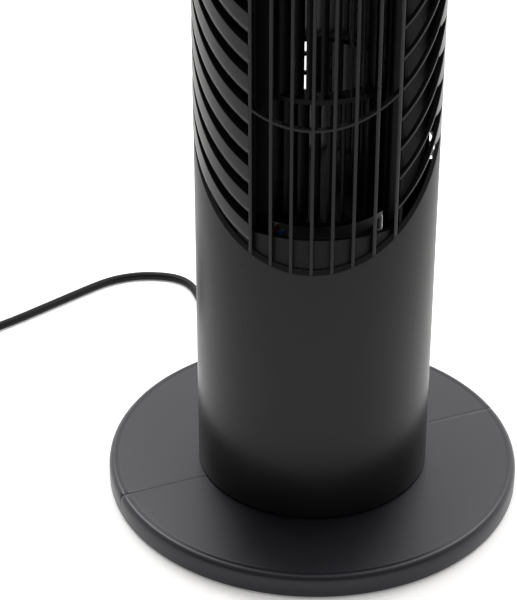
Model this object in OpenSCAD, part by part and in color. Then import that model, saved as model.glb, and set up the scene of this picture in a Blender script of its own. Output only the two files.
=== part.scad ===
// Tower fan: a slotted column that swings on a round two-piece base.
// Millimetres, +Z up, the column's outlet faces -Y, origin at the centre of the base on the floor.

/* [Column] */
// Overall height, floor to the top of the timer knob
total_h = 790; // [760:5:820]
// Outside diameter of the column
column_d = 140; // [136:1:144]
// Wall thickness of the column's shells
wall = 2.4; // [2:0.1:3]
// Rise of the slanted edges for each millimetre from front to back
slant = 0.92; // [0.8:0.01:1]
// Height of the lower shell's slanted edge, over the column's axis
lower_edge_z = 248; // [240:1:256]
// Vertical distance from louvre to louvre
louvre_pitch = 18; // [16:0.5:20]

/* [Base] */
// Diameter of the base
base_d = 251; // [240:1:260]
// Height of the base's top face
base_h = 15; // [14:0.5:18]
// Turn of the base against the column at rest, degrees
base_turn = 26; // [0:1:34]

/* [Grille] */
// Number of vertical ribs in the outlet
rib_count = 8; // [6:1:9]
// Sideways distance from rib to rib
rib_pitch = 11.4; // [10:0.1:12]
// Sideways place of the leftmost rib
rib_first_x = -33.4; // [-36:0.1:-30]
// Width of a rib and thickness of a louvre's edge
rib_w = 2; // [1.6:0.1:2.4]
// Distance from slot to slot in the rear casing
slot_pitch = 12.45; // [10:0.05:14]
// Height of one rear slot
slot_h = 9.8; // [5:0.1:10]

/* [Impeller] */
// Outside diameter of the impeller
impeller_d = 90; // [80:1:94]
// Number of blades round the impeller
blade_count = 35; // [21:2:37]

/* [Swing drive] */
// Teeth on the fixed ring gear
gear_teeth = 48; // [40:8:48]
// Teeth on the motor's pinion
pinion_teeth = 16; // [12:4:16]

/* [Cord] */
// Diameter of the mains cord
cord_d = 5.6; // [5:0.1:6]

/* [Hidden] */

$fn = 96;
gap = 0.3;
column_r = column_d/2;
inner_r = column_r - wall;
base_r = base_d/2;
slant_angle = atan(slant);

// Base and swivel
foot_h = 1;
seam_gap = 0.3;
recess_z = 11.5;
boss_x = 90;
boss_z = 3;
flange_screw_x = 27;
pilot_r = 1.6;
spindle_r = 18;
spindle_bore_r = 12;
spindle_top_z = 37;
running = 0.06;
washer_z = base_h + 0.1;
plate_z = base_h + 1.2;
plate_h = 3;
hub_r = 24;
hub_top_z = 30;
gear_z = 31;
gear_h = 6;
gear_r = gear_teeth/2;
pinion_r = pinion_teeth/2;
drive_y = gear_r + pinion_r + 0.1;
post_x = 29;
swing_motor_z = 39.2;
drive_shaft_r = 2.5;

// Column
shell_z = base_h + 0.9;
louvre_n = 25;
upper_edge_z = lower_edge_z + louvre_n*louvre_pitch;
ring_every = 10;
first_ring = 5;
cap_z = total_h - 20.4;
seam_f = 90;
slot_first_z = 142;
slot_rows = 45;
slot_columns = [100, 128, 154, 184, 210, 238];
slot_span = 22;
sill_top_z = 204;
liner_r = 61.3;
left_f = -asin(-rib_first_x/column_r);
right_f = asin((rib_first_x + (rib_count - 1)*rib_pitch)/column_r);

// Fan
motor_z = 100;
cup_r = 38.5;
cup_top_z = 187;
impeller_z = 200;
disc_pitch = 76;
disc_h = 3;
disc_n = 6;
impeller_r = impeller_d/2;
blade_in_r = impeller_r - 9;
impeller_turn = 8.6;
impeller_top_z = impeller_z + disc_n*disc_pitch + disc_h;
duct_z = impeller_z - 2;
duct_h = impeller_top_z + 1 - duct_z;
shaft_r = 4;

// Controls
key_w = 15;
key_l = 10;
key_travel = 2;
key_y = -26;
key_x = [-36, -18, 0, 18, 36];
knob_y = 12;
panel_h = 1.2;

// Cord: its outlet, the stretch on the floor, the coil and the plug
exit_z = 6.5;
relief_l = 28;
relief_r = 4;
cord_route = [[-67.3, 138, 6.5], [-72, 147.6, 6.3], [-76.5, 158, 5.4], [-80.5, 168.5, 4], [-84, 179, 3],
    [-88, 190, 2.8], [-92.5, 201.5, 2.8], [-98, 210.5, 2.8], [-105, 216, 2.8], [-113.5, 218.8, 2.8],
    [-122, 219.5, 2.8], [-131, 219, 2.8], [-139, 217.2, 2.8], [-147.5, 213.8, 2.8], [-155.5, 209, 2.8],
    [-163, 202.8, 2.8], [-178, 188.3, 2.8], [-192.6, 173.8, 2.8], [-207, 159.6, 2.8], [-221.5, 146.2, 2.8],
    [-229, 139.2, 3], [-236, 132.8, 3.4]];
coil_x = -274;
coil_y = 151;
coil_z = 0.9;
coil_in = 19.2;
coil_out = 41.8;
tail_route = [[-312.8, 158, 9], [-312.4, 166, 8.6], [-311.6, 174, 8], [-310.4, 182, 7.5], [-309, 190, 7.1]];
plug_x = -309;
plug_y = 190.1;
plug_z = 7.05;
plug_turn = -10;

function unit(a) = [cos(a), sin(a)];

// The point on a slanted line at front angle f, radius r and height z over the column's axis
function on_slant(r, f, z) = [r*sin(f), -r*cos(f), z - slant*column_r*cos(f)];

// Arc of a wall between two front angles, counted from -Y towards +X
module arc_wall(r_out, r_in, z0, z1, f0, f1) {
    translate([0, 0, z0]) rotate([0, 0, f0 - 90]) rotate_extrude(angle = f1 - f0)
        translate([r_in, 0]) square([r_out - r_in, z1 - z0]);
}

// Everything under a slanted plane that crosses the axis at height z
module below_slant(z) {
    translate([0, 0, z]) rotate([slant_angle, 0, 0]) translate([-200, -900, -900]) cube([400, 1800, 900]);
}

// A slanted slab of the given thickness whose top crosses the axis at height z
module slanted_slab(z, thick) {
    translate([0, 0, z]) rotate([slant_angle, 0, 0]) translate([-200, -300, -thick])
        cube([400, 600, thick]);
}

// A bar swept along a slanted line: section is a closed list of [radius, height] points
module slanted_bar(section, f0, f1, z, steps) {
    n = len(section);
    rings = [for (i = [0:steps]) for (p = section) on_slant(p[0], f0 + (f1 - f0)*i/steps, z + p[1])];
    sides = [for (i = [0:steps - 1]) for (j = [0:n - 1])
        let (k = (j + 1) % n)
        each [[i*n + j, i*n + k, (i + 1)*n + k], [i*n + j, (i + 1)*n + k, (i + 1)*n + j]]];
    near = [[for (j = [n - 1:-1:0]) j]];
    far = [[for (j = [0:n - 1]) steps*n + j]];
    polyhedron(points = rings, faces = concat(sides, near, far), convexity = 6);
}

// Countersunk screw pointing along -Z, its head's face at the origin
module screw(head_r, shank_r, length) {
    rim = 0.6;
    cone = 0.7*(head_r - shank_r);
    rotate_extrude() polygon([[0, 0], [head_r, 0], [head_r, -rim], [shank_r, -rim - cone],
        [shank_r, -length], [0, -length]]);
}

// Spur gear with short trapezium teeth and generous backlash
module spur(teeth, h, bore_r, turn) {
    pitch = 360/teeth;
    root = teeth/2 - 1.15;
    tip = teeth/2 + 0.8;
    rotate([0, 0, turn]) difference() {
        linear_extrude(height = h) polygon([for (i = [0:teeth - 1]) each [
            root*unit((i - 0.27)*pitch), tip*unit((i - 0.13)*pitch), tip*unit((i + 0.13)*pitch),
            root*unit((i + 0.27)*pitch)]]);
        translate([0, 0, -1]) cylinder(r = bore_r, h = h + 2);
    }
}

// One half of the base: a shallow dish turned upside down, with a beaded rim
module base_half() {
    round_r = 3;
    top = base_h + 0.5;
    outline = concat(
        [[spindle_r + 0.1, recess_z], [spindle_r + 0.1, base_h], [base_r - 6, base_h], [base_r - 5.2, top]],
        [for (a = [90:-18:0]) [base_r - round_r + round_r*cos(a), top - round_r + round_r*sin(a)]],
        [[base_r, foot_h], [base_r - 4, foot_h], [base_r - 4, recess_z]]);
    difference() {
        rotate_extrude(angle = 180) polygon(outline);
        translate([-base_r - 5, -1, 0]) cube([base_d + 10, 1 + seam_gap/2, base_h + 5]);
        for (a = [45, 135]) rotate([0, 0, a]) translate([flange_screw_x, 0, recess_z - 1])
            cylinder(r = pilot_r, h = 3.8);
    }
    for (a = [30:60:150]) rotate([0, 0, a]) translate([boss_x, 0, boss_z]) difference() {
        cylinder(r = 7, h = recess_z - boss_z + 0.5);
        translate([0, 0, -1]) cylinder(r = pilot_r, h = 9);
    }
}

module base_front_half() {
    color("#26262b") rotate([0, 0, base_turn + 180]) base_half();
}

module base_rear_half() {
    color("#26262b") rotate([0, 0, base_turn]) difference() {
        base_half();
        translate([0, base_r - 10, exit_z]) rotate([-90, 0, 0]) cylinder(r = relief_r + 0.1, h = 20);
    }
}

// Flat ring across the bosses, which holds the two halves together
module joining_ring() {
    ring_h = 0.95;
    color("silver") translate([0, 0, boss_z - ring_h - 0.05]) difference() {
        cylinder(r = boss_x + 9, h = ring_h);
        translate([0, 0, -1]) cylinder(r = boss_x - 9, h = ring_h + 2);
        for (a = [30:60:330]) rotate([0, 0, a + base_turn]) translate([boss_x, 0, -1])
            cylinder(r = pilot_r + 0.1, h = ring_h + 2);
    }
}

module base_screws() {
    color("silver") for (a = [30:60:330]) rotate([0, 0, a + base_turn]) translate([boss_x, 0, 0.3])
        mirror([0, 0, 1]) screw(3, 1.5, 8);
}

module rubber_feet() {
    color("#111111") for (a = [22.5:45:337.5]) rotate([0, 0, a + base_turn]) translate([base_r - 14, 0, 0])
        cylinder(r = 6, h = recess_z - 0.05);
}

module spindle() {
    color("#d8d8d4") difference() {
        union() {
            translate([0, 0, recess_z - 3.05]) cylinder(r = 34, h = 3);
            translate([0, 0, recess_z - 3.05]) cylinder(r = spindle_r, h = spindle_top_z - recess_z + 3.05);
        }
        cylinder(r = spindle_bore_r, h = 60);
        for (a = [45:90:315]) rotate([0, 0, a + base_turn]) translate([flange_screw_x, 0, 0])
            cylinder(r = pilot_r + 0.1, h = 20);
    }
}

module spindle_screws() {
    color("silver") for (a = [45:90:315]) rotate([0, 0, a + base_turn]) translate([flange_screw_x, 0, 7])
        mirror([0, 0, 1]) screw(2.6, 1.5, 7);
}

module swivel_washer() {
    color("#f0f0ec") translate([0, 0, washer_z]) difference() {
        cylinder(r = 60, h = plate_z - washer_z - 0.1);
        translate([0, 0, -1]) cylinder(r = spindle_r + 1, h = 4);
    }
}

module ring_gear() {
    color("#f0f0ec") translate([0, 0, gear_z]) spur(gear_teeth, gear_h, spindle_r + 0.05, 90);
}

module retaining_clip() {
    color("silver") translate([0, 0, spindle_top_z + 0.1]) difference() {
        cylinder(r = 21, h = 1.2);
        translate([0, 0, -1]) cylinder(r = spindle_bore_r, h = 4);
    }
}

module swivel_plate() {
    color("#2b2b2e") difference() {
        union() {
            translate([0, 0, plate_z]) cylinder(r = inner_r - 0.1, h = plate_h);
            translate([0, 0, plate_z]) cylinder(r = hub_r, h = hub_top_z - plate_z);
        }
        translate([0, 0, plate_z - 1]) cylinder(r = spindle_r + running, h = 40);
    }
}

module motor_posts() {
    color("#2b2b2e") for (x = [-post_x, post_x]) translate([x, drive_y, plate_z + plate_h])
        cylinder(r = 4, h = swing_motor_z - plate_z - plate_h);
}

module swing_motor() {
    color("#c9c9c4") difference() {
        union() {
            translate([0, drive_y, swing_motor_z]) cylinder(r = 24, h = 17);
            translate([-post_x - 4, drive_y - 5, swing_motor_z]) cube([2*post_x + 8, 10, 1.2]);
        }
        translate([0, drive_y, swing_motor_z - 1]) cylinder(r = drive_shaft_r + running, h = 8);
    }
}

module drive_pinion() {
    tooth_turn = 90 + 180/pinion_teeth;
    color("#f0f0ec") translate([0, drive_y, gear_z]) {
        spur(pinion_teeth, gear_h, 2, tooth_turn);
        translate([0, 0, -0.5]) cylinder(r = 3, h = gear_h + 1);
        cylinder(r = drive_shaft_r, h = swing_motor_z - gear_z + 6);
    }
}

module shell_half(z0, z1) {
    arc_wall(column_r, inner_r, z0, z1, -seam_f, seam_f);
}

module lower_shell() {
    color("#2d2c2e") {
        intersection() {
            shell_half(shell_z, upper_edge_z);
            below_slant(lower_edge_z);
        }
        for (z = [60, 150, 225]) shell_tabs(z);
    }
}

// Tabs that lap behind the rear casing and take its screws
module shell_tabs(z) {
    for (f = [-110, 78]) difference() {
        arc_wall(inner_r + 0.02, inner_r - 3, z - 7, z + 7, f, f + 32);
        for (side = [-1, 1]) rotate([0, 0, side*102]) translate([0, 0, z]) rotate([90, 0, 0])
            cylinder(r = 1.2, h = 80);
    }
}

module rear_casing() {
    casing_in = inner_r + 0.1;
    color("#2b2a2d") difference() {
        arc_wall(column_r, casing_in, shell_z, cap_z - 0.1, seam_f + 0.2, 360 - seam_f - 0.2);
        for (i = [0:slot_rows - 1]) for (f = slot_columns)
            translate([0, 0, slot_first_z + i*slot_pitch])
                arc_wall(column_r + 2, casing_in - 2, 0, slot_h, f, f + slot_span);
        translate([-45, 40, 718]) cube([90, 60, 30]);
        for (z = [60, 150, 225, 707, 750]) for (side = [-1, 1]) rotate([0, 0, side*102])
            translate([0, 0, z]) rotate([90, 0, 0]) cylinder(r = 3.2, h = 80);
    }
}

module casing_screws() {
    color("silver") for (z = [60, 150, 225, 707, 750]) for (side = [-1, 1]) rotate([0, 0, side*102])
        translate([0, -column_r + 0.4, z]) rotate([90, 0, 0]) screw(2.9, 1.1, 8);
}

module motor_deck() {
    color("#2b2b2e") translate([0, 0, motor_z - 4]) difference() {
        cylinder(r = inner_r - 0.3, h = 3);
        translate([0, 0, -1]) cylinder(r = 14, h = 5);
        for (a = [45:90:315]) rotate([0, 0, a]) translate([56, 0, -1]) cylinder(r = 6, h = 5);
    }
}

module motor_cup() {
    color("#8d8d90") difference() {
        translate([0, 0, motor_z - 0.9]) cylinder(r = cup_r, h = cup_top_z - motor_z + 0.9);
        translate([0, 0, motor_z - 2]) cylinder(r = cup_r - 2, h = cup_top_z - motor_z);
        translate([0, 0, cup_top_z - 5]) cylinder(r = 12, h = 10);
    }
}

module fan_motor() {
    color("#6f7275") {
        translate([0, 0, motor_z - 0.8]) difference() {
            cylinder(r = 36, h = 66);
            translate([0, 0, 2]) cylinder(r = shaft_r + running, h = 80);
            translate([0, 0, 8]) cylinder(r = 22.5, h = 50);
        }
    }
}

module motor_shaft() {
    color("silver") {
        translate([0, 0, motor_z + 2]) cylinder(r = shaft_r, h = impeller_z - motor_z - 2);
        translate([0, 0, motor_z + 9]) cylinder(r = 22, h = 46);
    }
}

module capacitor() {
    color("#e8e8e4") translate([-18, -16, motor_z - 32.05]) cube([36, 18, 28]);
}

// A short lead that loops out of the cup's lid
module lead(x, y, turn) {
    translate([x, y, cup_top_z + 0.1]) rotate([0, 0, turn]) rotate([90, 0, 0]) rotate_extrude(angle = 180)
        translate([2.4, 0]) circle(r = 1, $fn = 24);
}

module motor_lead_red() {
    color("#c02020") lead(-21.3, -26.5, 80);
}

module motor_lead_blue() {
    color("#2040b0") lead(-17.6, -32.6, 65);
}

// Forward-curved blade, as a thin arc of the given thickness
module blade() {
    thick = 0.9;
    blade_r = 12;
    translate([blade_in_r, 0]) intersection() {
        translate([0, -blade_r]) difference() {
            circle(r = blade_r, $fn = 64);
            circle(r = blade_r - thick, $fn = 64);
        }
        translate([0, -blade_r]) square([8.8, blade_r + 0.5]);
    }
}

module impeller() {
    color("#232327") difference() {
        union() {
            for (i = [0:disc_n - 1]) translate([0, 0, impeller_z + i*disc_pitch + disc_h - 1])
                rotate([0, 0, impeller_turn + (i % 2)*180/blade_count])
                linear_extrude(height = disc_pitch - disc_h + 2)
                for (k = [0:blade_count - 1]) rotate([0, 0, k*360/blade_count]) blade();
            for (i = [0:disc_n]) translate([0, 0, impeller_z + i*disc_pitch]) disc(i == 0 || i == disc_n);
            translate([0, 0, impeller_z - 9]) cylinder(r = 9, h = 10);
            translate([0, 0, impeller_top_z - 0.5]) cylinder(r = 3, h = 9.5);
        }
        translate([0, 0, impeller_z - 20]) cylinder(r = shaft_r + 0.02, h = 20.2);
    }
}

// End discs are closed, the others are rings
module disc(closed) {
    difference() {
        cylinder(r = impeller_r, h = disc_h);
        if (!closed) translate([0, 0, -1]) cylinder(r = blade_in_r - 0.4, h = disc_h + 2);
    }
}

module air_guide() {
    color("#1d1d20") translate([0, 0, duct_z]) linear_extrude(height = duct_h) difference() {
        translate([-3, 2]) intersection() {
            difference() {
                circle(r = 56);
                circle(r = 54.2);
            }
            polygon([[0, 0], [-120, 60], [-120, -20], [-60, -90], [-33, -90]]);
        }
        circle(r = impeller_r + 2);
    }
}

module tongue_wall() {
    color("#1d1d20") arc_wall(51, 49.2, 170, duct_z + duct_h, 52, 100);
}

// Curved wall behind the louvres of one side, standing on the motor deck, with a fin out to the casing.
// The fin is notched round the shells' tabs.
module liner(f0, f1, fin_f) {
    color("#1d1d20") difference() {
        union() {
            arc_wall(liner_r, liner_r - 1.5, motor_z - 0.9, duct_z + duct_h, f0, f1);
            arc_wall(inner_r - 0.2, liner_r - 0.5, 159, duct_z + duct_h, fin_f, fin_f + 1.3);
        }
        arc_wall(column_r, inner_r - 3.3, 216, 234, fin_f - 2, fin_f + 3);
    }
}

module left_liner() {
    liner(-100, -31.5, -99.5);
}

module right_liner() {
    liner(44, 100, 98.2);
}

// Wall that stands on the motor deck and closes the outlet's foot
module outlet_sill() {
    color("#2d2c2e") arc_wall(column_r - 3.05, column_r - 5.6, motor_z - 0.9, sill_top_z, -38, 42.5);
}

module front_ribs() {
    rib_depth = 3;
    color("#2d2c2e") {
        intersection() {
            difference() {
                arc_wall(column_r, column_r - rib_depth, shell_z, cap_z, -seam_f, seam_f);
                below_slant(lower_edge_z + 0.1);
            }
            below_slant(upper_edge_z - 0.1);
            for (i = [0:rib_count - 1]) translate([rib_first_x + i*rib_pitch - rib_w/2, -80, 0])
                cube([rib_w, 60, total_h]);
        }
        for (i = [first_ring:ring_every:louvre_n - 1]) intersection() {
            arc_wall(column_r - 0.3, column_r - rib_depth - 0.4, shell_z, cap_z, left_f - 1, right_f + 1.1);
            slanted_slab(lower_edge_z + i*louvre_pitch, rib_w*cos(slant_angle));
        }
    }
}

// Cowl section: flush at its top edge, drawn in and under at its lower edge
function cowl() = [[column_r, 0], [column_r, -7.5], [column_r - 0.7, -11.2], [column_r - 2, -13],
    [column_r - 4.8, -14.6], [column_r - 5.2, -13.5], [column_r - 3.2, -12.2], [column_r - 2.1, -10.4],
    [column_r - 1.4, -7.6], [column_r - 1.4, -1.4], [column_r - 5, -1.4], [column_r - 5, 0]];

module left_louvres() {
    color("#3a393b") for (i = [1:louvre_n - 1])
        slanted_bar(cowl(), -seam_f + 0.3, left_f - 2.5, lower_edge_z + i*louvre_pitch, 12);
}

// Plain louvre section: a thin blade
function fin() = [[column_r, 0], [column_r, -rib_w], [column_r - 2.4, -rib_w], [column_r - 2.4, 0]];

module right_louvres() {
    color("#2d2c2e") for (i = [1:louvre_n - 1])
        slanted_bar(fin(), right_f + 3.6, seam_f - 0.3, lower_edge_z + i*louvre_pitch, 10);
}

// Web that closes the upper end of the slot under the louvre at height z, with a level lower edge
module slot_web(z) {
    steps = 6;
    f0 = 71.5;
    f1 = seam_f - 0.3;
    level = z - slant*column_r*cos(70) - rib_w;
    points = [for (i = [0:steps])
        let (f = f0 + (f1 - f0)*i/steps, high = z - slant*column_r*cos(f) - rib_w - 0.1,
            low = max(level, high - louvre_pitch + rib_w + 0.2))
        for (p = [[column_r - 0.1, high], [column_r - 0.1, low],
            [column_r - 2.1, low], [column_r - 2.1, high]])
            [p[0]*sin(f), -p[0]*cos(f), p[1]]];
    sides = [for (i = [0:steps - 1]) for (j = [0:3])
        let (k = (j + 1) % 4)
        each [[i*4 + j, i*4 + k, (i + 1)*4 + k], [i*4 + j, (i + 1)*4 + k, (i + 1)*4 + j]]];
    polyhedron(points = points, faces = concat(sides, [[3, 2, 1, 0]], [[for (j = [0:3]) steps*4 + j]]),
        convexity = 4);
}

module slot_webs() {
    color("#2d2c2e") for (i = [1:louvre_n - 1]) slot_web(lower_edge_z + i*louvre_pitch);
}

// Posts behind the louvres, which carry them
module louvre_posts() {
    color("#232326") intersection() {
        difference() {
            union() {
                for (f = [-seam_f + 0.5, left_f - 4.5])
                    arc_wall(column_r - 6.15, column_r - 8.5, shell_z, cap_z, f, f + 3);
                for (f = [seam_f - 3.5, right_f + 4])
                    arc_wall(column_r - 2.55, column_r - 5.5, shell_z, cap_z, f, f + 2);
            }
            below_slant(lower_edge_z + 0.1);
        }
        below_slant(upper_edge_z - 0.1);
    }
}

module bearing_bracket() {
    color("#2b2b2e") translate([0, 0, impeller_top_z + 2]) difference() {
        union() {
            translate([-9, -inner_r + 1, 0]) cube([18, 2*inner_r - 2, 3]);
            cylinder(r = 12, h = 9);
        }
        translate([0, 0, -1]) cylinder(r = 7.02, h = 12);
    }
}

module bearing_bush() {
    color("#b08d4c") translate([0, 0, impeller_top_z + 2]) difference() {
        cylinder(r = 7, h = 8);
        translate([0, 0, -1]) cylinder(r = 3 + running, h = 12);
    }
}

module upper_shell() {
    color("#2d2c2e") {
        difference() {
            shell_half(lower_edge_z, cap_z - 0.1);
            below_slant(upper_edge_z);
        }
        for (z = [707, 750]) shell_tabs(z);
    }
}

module handle_pocket() {
    color("#232327") difference() {
        intersection() {
            translate([-44.8, 40, 718.2]) cube([89.6, 40, 29.6]);
            translate([0, 0, 700]) cylinder(r = inner_r, h = 60);
        }
        translate([-42.8, 42, 720.2]) cube([85.6, 40, 25.6]);
    }
}

module key_hole(x) {
    translate([x - key_w/2 - gap, key_y - key_l/2 - gap, cap_z - 20])
        cube([key_w + 2*gap, key_l + 2*gap, 60]);
}

module top_cap() {
    edge_r = 6;
    cap_h = 8;
    color("#2d2c2e") translate([0, 0, cap_z]) difference() {
        rotate_extrude() polygon(concat([[0, 0], [column_r, 0]], [for (a = [0:15:90])
            [column_r - edge_r + edge_r*cos(a), cap_h - edge_r + edge_r*sin(a)]], [[0, cap_h]]));
        translate([0, 0, -cap_z]) for (x = key_x) key_hole(x);
        translate([0, knob_y, -1]) cylinder(r = 4.5, h = 20);
    }
}

module control_panel() {
    color("#101012") translate([0, 0, cap_z + 8.02]) difference() {
        linear_extrude(height = panel_h) offset(r = 10) square([88, 60], center = true);
        translate([0, 0, -cap_z - 8.02]) for (x = key_x) key_hole(x);
        translate([0, knob_y, -1]) cylinder(r = 4.5, h = 20);
    }
}

module circuit_board() {
    color("#2f6b3a") translate([-48, -38, cap_z - 27]) cube([96, 62, 1.6]);
}

module switch_block() {
    color("#e0e0dc") translate([-46, key_y - 6, cap_z - 25.3]) cube([92, 12, 14]);
}

module key(x) {
    translate([x - key_w/2, key_y - key_l/2, cap_z - 8]) cube([key_w, key_l, 8 + 8 + panel_h + 2.2]);
}

module key_off() {
    color("#7d7d80") key(key_x[0]);
}

module key_low() {
    color("#7d7d80") key(key_x[1]);
}

module key_medium() {
    color("#7d7d80") key(key_x[2]);
}

module key_high() {
    color("#7d7d80") key(key_x[3]);
}

module key_swing() {
    color("#7d7d80") key(key_x[4]);
}

module timer_body() {
    color("#e0e0dc") translate([0, knob_y, cap_z - 25.3]) difference() {
        translate([-12, -12, 0]) cube([24, 24, 20]);
        translate([0, 0, 2]) cylinder(r = 3 + running, h = 30);
    }
}

module timer_knob() {
    color("#2a2a2c") translate([0, knob_y, 0]) {
        translate([0, 0, cap_z - 22]) cylinder(r = 3, h = 32);
        translate([0, 0, cap_z + 9.6]) rotate_extrude() polygon([[0, 0], [15, 0], [15, 2], [13.6, 9.4],
            [12.6, 10.4], [0, 10.4]]);
        translate([-1.2, 4, cap_z + 19.5]) cube([2.4, 8.4, 0.9]);
    }
}

// Sleeve at the rear of the base, with a collar inside the wall and a taper outside
module strain_relief() {
    color("#151515") rotate([0, 0, base_turn]) translate([0, base_r, exit_z]) rotate([-90, 0, 0]) {
        translate([0, 0, -4.5]) cylinder(r = relief_r, h = 5);
        cylinder(r1 = relief_r, r2 = 3.2, h = relief_l);
        translate([0, 0, -7.2]) cylinder(r = relief_r + 0.8, h = 2.9);
    }
}

// Tube swept along a list of points that never runs upright
module tube(points, r, sides) {
    n = len(points);
    rings = [for (i = [0:n - 1])
        let (a = points[max(i - 1, 0)], b = points[min(i + 1, n - 1)],
            t = (b - a)/norm(b - a), s = cross(t, [0, 0, 1])/norm(cross(t, [0, 0, 1])), u = cross(s, t))
        for (k = [0:sides - 1]) points[i] + r*(cos(360*k/sides)*s + sin(360*k/sides)*u)];
    walls = [for (i = [0:n - 2]) for (k = [0:sides - 1])
        let (j = (k + 1) % sides) each [[i*sides + k, i*sides + j, (i + 1)*sides + j],
            [i*sides + k, (i + 1)*sides + j, (i + 1)*sides + k]]];
    ends = [[for (k = [sides - 1:-1:0]) k], [for (k = [0:sides - 1]) (n - 1)*sides + k]];
    polyhedron(points = rings, faces = concat(walls, ends), convexity = 6);
}

module mains_cord() {
    color("#111111") {
        tube(cord_route, cord_d/2, 12);
        tube(tail_route, cord_d/2, 12);
    }
}

module cord_coil() {
    color("#111111") translate([coil_x, coil_y, coil_z]) rotate_extrude()
        translate([coil_in, 0]) square([coil_out - coil_in, 2*cord_d]);
}

module cord_tie() {
    color("#111111") translate([coil_x, coil_y, 0]) rotate([0, 0, 250]) translate([coil_in - 1.3, -3, 0])
        difference() {
            cube([coil_out - coil_in + 2.3, 6, coil_z + 2*cord_d + 0.9]);
            translate([1, -1, coil_z - 0.05]) cube([coil_out - coil_in + 0.4, 8, 2*cord_d + 0.1]);
        }
}

module at_plug() {
    translate([plug_x, plug_y, plug_z]) rotate([0, 0, plug_turn]) children();
}

module plug_body() {
    color("#111111") at_plug() {
        rotate([-90, 0, 0]) cylinder(r1 = 3.6, r2 = 5.4, h = 12);
        translate([-12, 11, -7]) linear_extrude(height = 14) polygon([[6, 0], [18, 0], [24, 9], [24, 25],
            [22, 27], [2, 27], [0, 25], [0, 9]]);
    }
}

module plug_pins() {
    color("#c8b070") at_plug() for (x = [-6.35, 6.35]) translate([x - 0.75, 38.05, -3.15])
        cube([1.5, 16, 6.3]);
}

base_front_half();
base_rear_half();
joining_ring();
base_screws();
rubber_feet();
spindle();
spindle_screws();
swivel_washer();
ring_gear();
retaining_clip();
swivel_plate();
motor_posts();
swing_motor();
drive_pinion();
lower_shell();
rear_casing();
casing_screws();
motor_deck();
motor_cup();
fan_motor();
motor_shaft();
capacitor();
motor_lead_red();
motor_lead_blue();
impeller();
air_guide();
tongue_wall();
left_liner();
right_liner();
outlet_sill();
front_ribs();
left_louvres();
right_louvres();
slot_webs();
louvre_posts();
bearing_bracket();
bearing_bush();
upper_shell();
handle_pocket();
top_cap();
control_panel();
circuit_board();
switch_block();
key_off();
key_low();
key_medium();
key_high();
key_swing();
timer_body();
timer_knob();
strain_relief();
mains_cord();
cord_coil();
cord_tie();
plug_body();
plug_pins();
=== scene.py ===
import math

import bpy
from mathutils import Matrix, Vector


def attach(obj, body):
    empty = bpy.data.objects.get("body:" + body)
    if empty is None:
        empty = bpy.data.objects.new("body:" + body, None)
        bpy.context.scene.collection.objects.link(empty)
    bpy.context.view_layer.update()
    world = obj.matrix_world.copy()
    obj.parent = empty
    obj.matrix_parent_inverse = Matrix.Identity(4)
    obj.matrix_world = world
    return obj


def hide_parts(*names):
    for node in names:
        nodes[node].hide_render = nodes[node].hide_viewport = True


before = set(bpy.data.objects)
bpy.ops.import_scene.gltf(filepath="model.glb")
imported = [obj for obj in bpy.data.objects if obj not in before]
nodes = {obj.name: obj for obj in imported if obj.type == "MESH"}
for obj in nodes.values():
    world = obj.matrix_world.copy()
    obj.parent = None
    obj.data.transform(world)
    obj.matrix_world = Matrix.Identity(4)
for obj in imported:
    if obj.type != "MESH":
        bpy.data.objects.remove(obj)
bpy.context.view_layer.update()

# Sizes of the fan, in millimetres until they reach a mesh
MM = 0.001
COLUMN_R = 70.0
INNER_R = COLUMN_R - 2.4
SLANT = 0.92
SLANT_ANGLE = math.atan(SLANT)
LOWER_EDGE = 248.0
LOUVRE_PITCH = 18.0
LOUVRES = 25
UPPER_EDGE = LOWER_EDGE + LOUVRES * LOUVRE_PITCH
SHELL_FOOT = 15.9
CAP_Z = 769.6
BASE_R = 125.5
BASE_TURN = math.radians(26)
RIBS, RIB_FIRST, RIB_PITCH = 8, -33.4, 11.4
RIB_X = [RIB_FIRST + RIB_PITCH * i for i in range(RIBS)]
RIB_W = 2.0
# Front angles, in degrees from the outlet's middle, of the outermost ribs
LEFT_F = -math.degrees(math.asin(-RIB_X[0] / COLUMN_R))
RIGHT_F = math.degrees(math.asin(RIB_X[-1] / COLUMN_R))


# ---------------------------------------------------------------- bench tools

def clear_bench():
    """Object mode, with nothing selected."""
    if bpy.context.object and bpy.context.object.mode != "OBJECT":
        bpy.ops.object.mode_set(mode="OBJECT")
    bpy.ops.object.select_all(action="DESELECT")


def take(piece):
    """The piece alone selected and active."""
    clear_bench()
    piece.select_set(True)
    bpy.context.view_layer.objects.active = piece


def edit(piece, kind="VERT", everything=True):
    """Edit mode on the piece, with all of it selected or none of it."""
    take(piece)
    bpy.ops.object.mode_set(mode="EDIT")
    bpy.ops.mesh.select_mode(type=kind)
    bpy.ops.mesh.select_all(action="SELECT" if everything else "DESELECT")


def done():
    bpy.ops.object.mode_set(mode="OBJECT")


def pick(piece, kind, test):
    """Opens the piece in edit mode with only the parts that pass the test selected."""
    edit(piece, kind, everything=False)
    done()
    mesh = piece.data
    if kind == "VERT":
        for v in mesh.vertices:
            v.select = bool(test(v.co / MM))
    elif kind == "EDGE":
        for e in mesh.edges:
            a, b = (mesh.vertices[i].co / MM for i in e.vertices)
            e.select = bool(test(a, b))
    else:
        for p in mesh.polygons:
            p.select = bool(test(p.center / MM, p.normal))
    bpy.ops.object.mode_set(mode="EDIT")


def soften(piece, width, test, kind="EDGE", segments=2):
    """A bevel on the edges, or round the faces, that pass the test."""
    pick(piece, kind, test)
    bpy.ops.mesh.bevel(offset=width * MM, segments=segments, affect="EDGES")
    done()


def mend_normals(piece):
    edit(piece)
    bpy.ops.mesh.normals_make_consistent(inside=False)
    done()


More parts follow.
